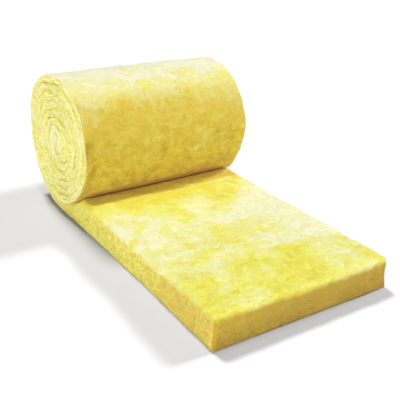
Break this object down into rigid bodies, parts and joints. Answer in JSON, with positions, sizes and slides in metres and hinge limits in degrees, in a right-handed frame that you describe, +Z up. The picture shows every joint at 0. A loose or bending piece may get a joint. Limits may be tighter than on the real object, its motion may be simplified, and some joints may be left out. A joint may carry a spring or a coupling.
{
  "type": "glass wool insulation roll",
  "caption": "Thick unfaced glass wool blanket wound into a spiral roll, with its free end laid out flat in front; laid between joists or studs as thermal insulation.",
  "frame": {"origin": "on the floor, under the middle of the object's bounding box", "axes": "+X along the roll's axis (the blanket's width), -Y the way the free end is laid out, +Z up"},
  "size_m": [0.6, 1.097, 0.473],
  "materials": {
    "glass_wool": "fibrous yellow glass wool, matt, mottled with paler tufts"
  },
  "bodies": {
    "root": {"glass_wool_blanket": "glass_wool"}
  },
  "joints": []
}
